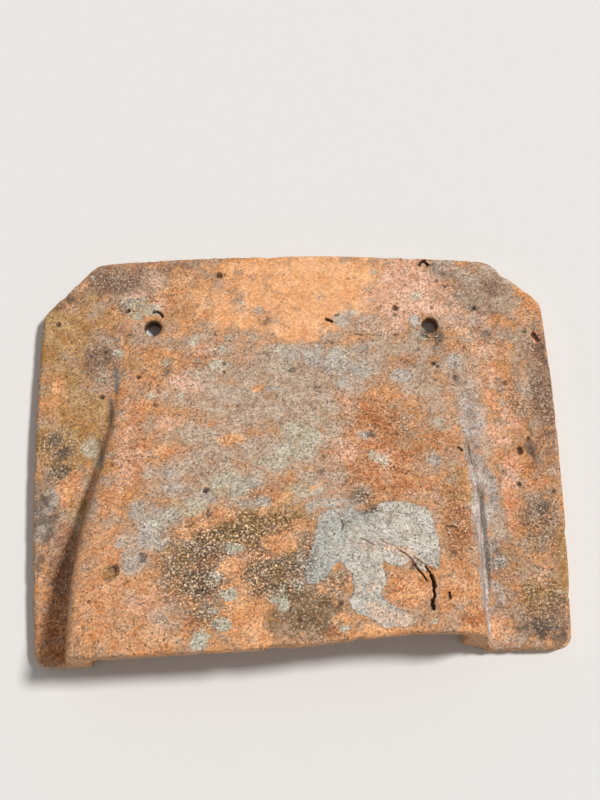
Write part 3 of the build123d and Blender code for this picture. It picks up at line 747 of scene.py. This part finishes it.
clouds_wide = spread(noise(CLOUD_MM, detail=5, roughness=0.65), CLOUD_SPAN)
mottle = spread(noise(MOTTLE_MM, detail=4, roughness=0.62), MOTTLE_SPAN)
blotch = spread(noise(BLOTCH_MM, detail=3, roughness=0.62), BLOTCH_SPAN)
grain = noise(GRAIN_MM, detail=2, roughness=0.8)
sand_grains = add(tree, "ShaderNodeTexVoronoi", {"Vector": here, "Scale": per_metre(SAND_MM)})
sand = add(tree, "ShaderNodeSeparateColor", {"Color": sand_grains.outputs["Color"]})
body = mixed(clouds_wide, "#CF8F57", "#E0A576")
body = mixed(product(mottle, BROWN_SHARE), body, "#B98863")
print("clay body mixed from", len(tree.nodes), "nodes")

# %% The table of stains
STAINS = [
    # painted value, two colours, size of its torn edge in mm, raggedness, softness, cover
    ("grey_dirt", "#8F7059", "#BFA48C", 10.0, 0.75, 0.30, 0.80),
    ("orange_clay", "#CC8753", "#DFA87D", 9.0, 0.70, 0.22, 0.92),
    ("burnt_clay", "#AE6637", "#CC9266", 9.0, 0.70, 0.24, 0.88),
    ("ochre_dust", "#A1743D", "#C49C6A", 9.0, 0.75, 0.26, 0.82),
    ("fresh_clay", "#EEA870", "#FABD8A", 9.0, 0.60, 0.30, 0.98),
    ("pink_clay", "#D79D78", "#F0C1A5", 9.0, 0.65, 0.28, 0.92),
    ("lilac_film", "#AC8F77", "#CBB49E", 11.0, 0.42, 0.36, 0.90),
    ("blue_film", "#A59A8F", "#C8BEB1", 9.0, 0.60, 0.34, 0.84),
    ("umber_film", "#7E5F3E", "#AC8D6C", 7.0, 0.65, 0.24, 0.90),
    ("red_brown", "#7C5B48", "#A57E67", 9.0, 0.70, 0.30, 0.82),
    ("pale_lichen", "#B3A487", "#D0C7B2", 8.0, 0.60, 0.32, 0.84),
    ("bare_clay", "#D68F5A", "#EDB482", 7.0, 0.60, 0.16, 0.94),
    ("lichen_spots", "#AFAA95", "#CBC7B3", 4.0, 0.42, 0.16, 0.92),
    ("salmon_clay", "#D48A5C", "#EAAC86", 6.0, 0.65, 0.24, 0.90),
    # rain streaks on the right wall, with painted light that makes it paler
    ("wall_wash_and_light", "#8E7F76", "#BFB2A8", 6.0, 0.70, 0.30, 0.88),
    ("soot", "#4F4037", "#83705F", 7.0, 0.70, 0.28, 0.82),
    # painted shade at the foot of the hood's walls
    ("wall_foot_shade", "#514A45", "#7F776F", 5.0, 0.45, 0.26, 0.92),
    # painted highlight along the fold of the hood's right wall
    ("wall_edge_highlight", "#AC9D92", "#D5C8BE", 4.0, 0.50, 0.30, 0.85),
]
TEAR_SPAN = 0.18
DITHER = 0.15
grit = product(product(sand.outputs["Red"], 0.5, "SUBTRACT"), DITHER)


def painted(name):
    """The value that was painted on the skin under that name."""
    return add(tree, "ShaderNodeAttribute", attribute_type="GEOMETRY", attribute_name=name).outputs["Fac"]


def torn(value, size_mm, raggedness, softness, cover):
    """A painted value made into ragged cover."""
    tear = spread(noise(size_mm, detail=4, roughness=0.55), TEAR_SPAN, 1.0 - raggedness, 1.0 + raggedness)
    ragged_value = product(value, product(tear, grit, "ADD"))
    return spread(ragged_value, softness, 0.0, cover, interpolation_type="SMOOTHSTEP")


skin_colour = body
for name, dark, light, size_mm, raggedness, softness, cover in STAINS:
    stain = mixed(mottle, dark, light)
    skin_colour = mixed(torn(painted(name), size_mm, raggedness, softness, cover), skin_colour, stain)
print(len(STAINS), "stains laid")

# %% [markdown]
# ## Crust, specks and grain
# The grey crust round the crack is a lichen that stands up from the clay, chalky in the middle and pinkish
# where it thins. Dark specks are tiny algae and sand grains. They are drawn a little coarser than life, which
# is the smallest that the picture can show. The grain of the sand is strongest where the clay is burnt,
# speckled or red-brown, and calmest in the fresh clay.

# %% The crust
CRUST_EDGE_MM, CRUST_TEAR_SPAN, CRUST_TEAR = 3.5, 0.2, 0.3
CRUST_SOFTNESS, CRUST_COVER = 0.08, 0.98
CRUST_TINTS = [
    # painted value, colour, size of its torn edge in mm, raggedness, softness, cover
    ("crust_blue", "#B0AFA5", 9.0, 0.7, 0.35, 0.85),
    ("crust_warm", "#D9B99F", 5.0, 0.7, 0.30, 0.90),
    ("crust_smudge", "#857B6D", 4.0, 0.7, 0.30, 0.75),
]

crust_noise = noise(CRUST_EDGE_MM, detail=5, roughness=0.7)
crust_tear = spread(crust_noise, CRUST_TEAR_SPAN, -CRUST_TEAR, CRUST_TEAR)
crust = spread(product(painted("grey_crust"), crust_tear, "ADD"), CRUST_SOFTNESS, 0.0, CRUST_COVER)
crust_colour = mixed(mottle, "#B9AE9F", "#D3CBBE")
for name, tint, size_mm, raggedness, softness, cover in CRUST_TINTS:
    crust_colour = mixed(torn(painted(name), size_mm, raggedness, softness, cover), crust_colour, tint)
skin_colour = mixed(crust, skin_colour, crust_colour)
print("crust laid in", len(CRUST_TINTS), "tints")

# %% Specks
SPECK_MM, FLECK_MM = 1.4, 2.4
# Values of the noise between which a speck goes from nothing to full
DARK_SPECKS, PALE_SPECKS, STRAY_SPECKS, FLECKS = (0.46, 0.52), (0.42, 0.36), (0.66, 0.69), (0.67, 0.71)
DARK_COVER, PALE_COVER, STRAY_COVER, FLECK_COVER = 0.86, 0.92, 0.75, 0.5
# A painted value up to the first number counts as none, and from the second as full
CLEAR_RANGE, SPECKS_LEFT_ON_CLEAR = (0.2, 0.9), 0.25

speck_noise = noise(SPECK_MM, detail=3, roughness=0.7)
clear_of_specks = product(painted("bare_clay"), painted("lichen_spots"), "MAXIMUM")
speckled = product(painted("speckle"), stretch(clear_of_specks, *CLEAR_RANGE, 1.0, SPECKS_LEFT_ON_CLEAR))
dark_specks = product(product(stretch(speck_noise, *DARK_SPECKS), speckled), DARK_COVER)
skin_colour = mixed(dark_specks, skin_colour, mixed(blotch, "#2F2216", "#615035"))
pale_specks = product(product(stretch(speck_noise, *PALE_SPECKS), painted("speckle")), PALE_COVER)
skin_colour = mixed(pale_specks, skin_colour, "#EFDABB")
stray_specks = stretch(speck_noise, *STRAY_SPECKS, 0.0, STRAY_COVER)
skin_colour = mixed(stray_specks, skin_colour, "#664D39")
flecks = stretch(noise(FLECK_MM, detail=3, roughness=0.7), *FLECKS, 0.0, FLECK_COVER)
skin_colour = mixed(flecks, skin_colour, "#DCCBB4")
print("specks of", SPECK_MM, "mm and flecks of", FLECK_MM, "mm")

# %% Pores, pale grains and painted shade in the dents
PORE_SHARE, PORE_COVER, FRESH_PORE_COVER = 0.10, 0.55, 0.12
PALE_GRAIN_SHARE, PALE_GRAIN_COVER = 0.03, 0.35
DENT_SHADE_COVER = 0.9
FRESH_RANGE = (0.2, 0.8)

pore_cover = stretch(painted("fresh_clay"), *FRESH_RANGE, PORE_COVER, FRESH_PORE_COVER)
pores = product(product(sand.outputs["Green"], PORE_SHARE, "LESS_THAN"), pore_cover)
skin_colour = mixed(pores, skin_colour, "#553D2B")
pale_grains = product(product(sand.outputs["Blue"], PALE_GRAIN_SHARE, "LESS_THAN"), PALE_GRAIN_COVER)
skin_colour = mixed(pale_grains, skin_colour, "#EBD9C2")
# painted shade in the dents, the crack and the nail holes
skin_colour = mixed(product(painted("dent"), DENT_SHADE_COVER), skin_colour, "#432F22")
print("pores on", PORE_SHARE, "and pale grains on", PALE_GRAIN_SHARE, "of the sand grains")

# %% Grain in the colour, and a matt finish
GRAIN_SPAN, GRAIN_TONES, SAND_TONES = 0.25, (0.84, 1.16), (0.64, 1.38)
SANDY_RANGE, SANDY_GRAIN, CALM_GRAIN = (0.2, 0.8), 1.5, 0.65
LEAST_ROUGH, MOST_ROUGH = 0.86, 0.97

sand_tone = stretch(sand.outputs["Red"], 0.0, 1.0, *SAND_TONES)
grain_tone = product(spread(grain, GRAIN_SPAN, *GRAIN_TONES), sand_tone)
burnt_or_speckled = product(painted("burnt_clay"), painted("speckle"), "MAXIMUM")
sandy = product(burnt_or_speckled, painted("red_brown"), "MAXIMUM")
calm = stretch(painted("fresh_clay"), 0.0, 1.0, 1.0, CALM_GRAIN)
grain_strength = product(stretch(sandy, *SANDY_RANGE, 1.0, SANDY_GRAIN), calm)
grain_mix = {MIX_FACTOR: grain_strength, MIX_NUMBERS[0]: 1.0, MIX_NUMBERS[1]: grain_tone}
grain_mixer = add(tree, "ShaderNodeMix", grain_mix, data_type="FLOAT", clamp_factor=False)
graded_inputs = {0: skin_colour, "Scale": grain_mixer.outputs[MIXED_NUMBER]}
graded = add(tree, "ShaderNodeVectorMath", graded_inputs, operation="SCALE")
tree.links.new(graded.outputs["Vector"], shader.inputs["Base Color"])
tree.links.new(stretch(mottle, 0.0, 1.0, LEAST_ROUGH, MOST_ROUGH), shader.inputs["Roughness"])
print("grain is", SANDY_GRAIN, "times as strong on sandy clay and", CALM_GRAIN, "on fresh clay")

# %% The relief that is too fine to model
GRAIN_DEPTH_MM, PITTING_DEPTH_MM, CRUST_DEPTH_MM, SAND_DEPTH_MM = 0.35, 0.3, 0.4, 0.25

height = product(product(grain, GRAIN_DEPTH_MM), product(mottle, PITTING_DEPTH_MM), "ADD")
height = product(height, product(crust, CRUST_DEPTH_MM), "ADD")
height = product(height, product(sand_grains.outputs["Distance"], -SAND_DEPTH_MM), "ADD")
bump = add(tree, "ShaderNodeBump", {"Strength": 1.0, "Distance": MM, "Height": height})
tree.links.new(bump.outputs["Normal"], shader.inputs["Normal"])
tile.data.materials.clear()
tile.data.materials.append(terracotta)
print("terracotta has", len(tree.nodes), "nodes")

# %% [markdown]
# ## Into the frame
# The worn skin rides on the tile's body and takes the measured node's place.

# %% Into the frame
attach(tile, "root")
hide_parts(TILE_NODE)
bpy.ops.object.shade_smooth()
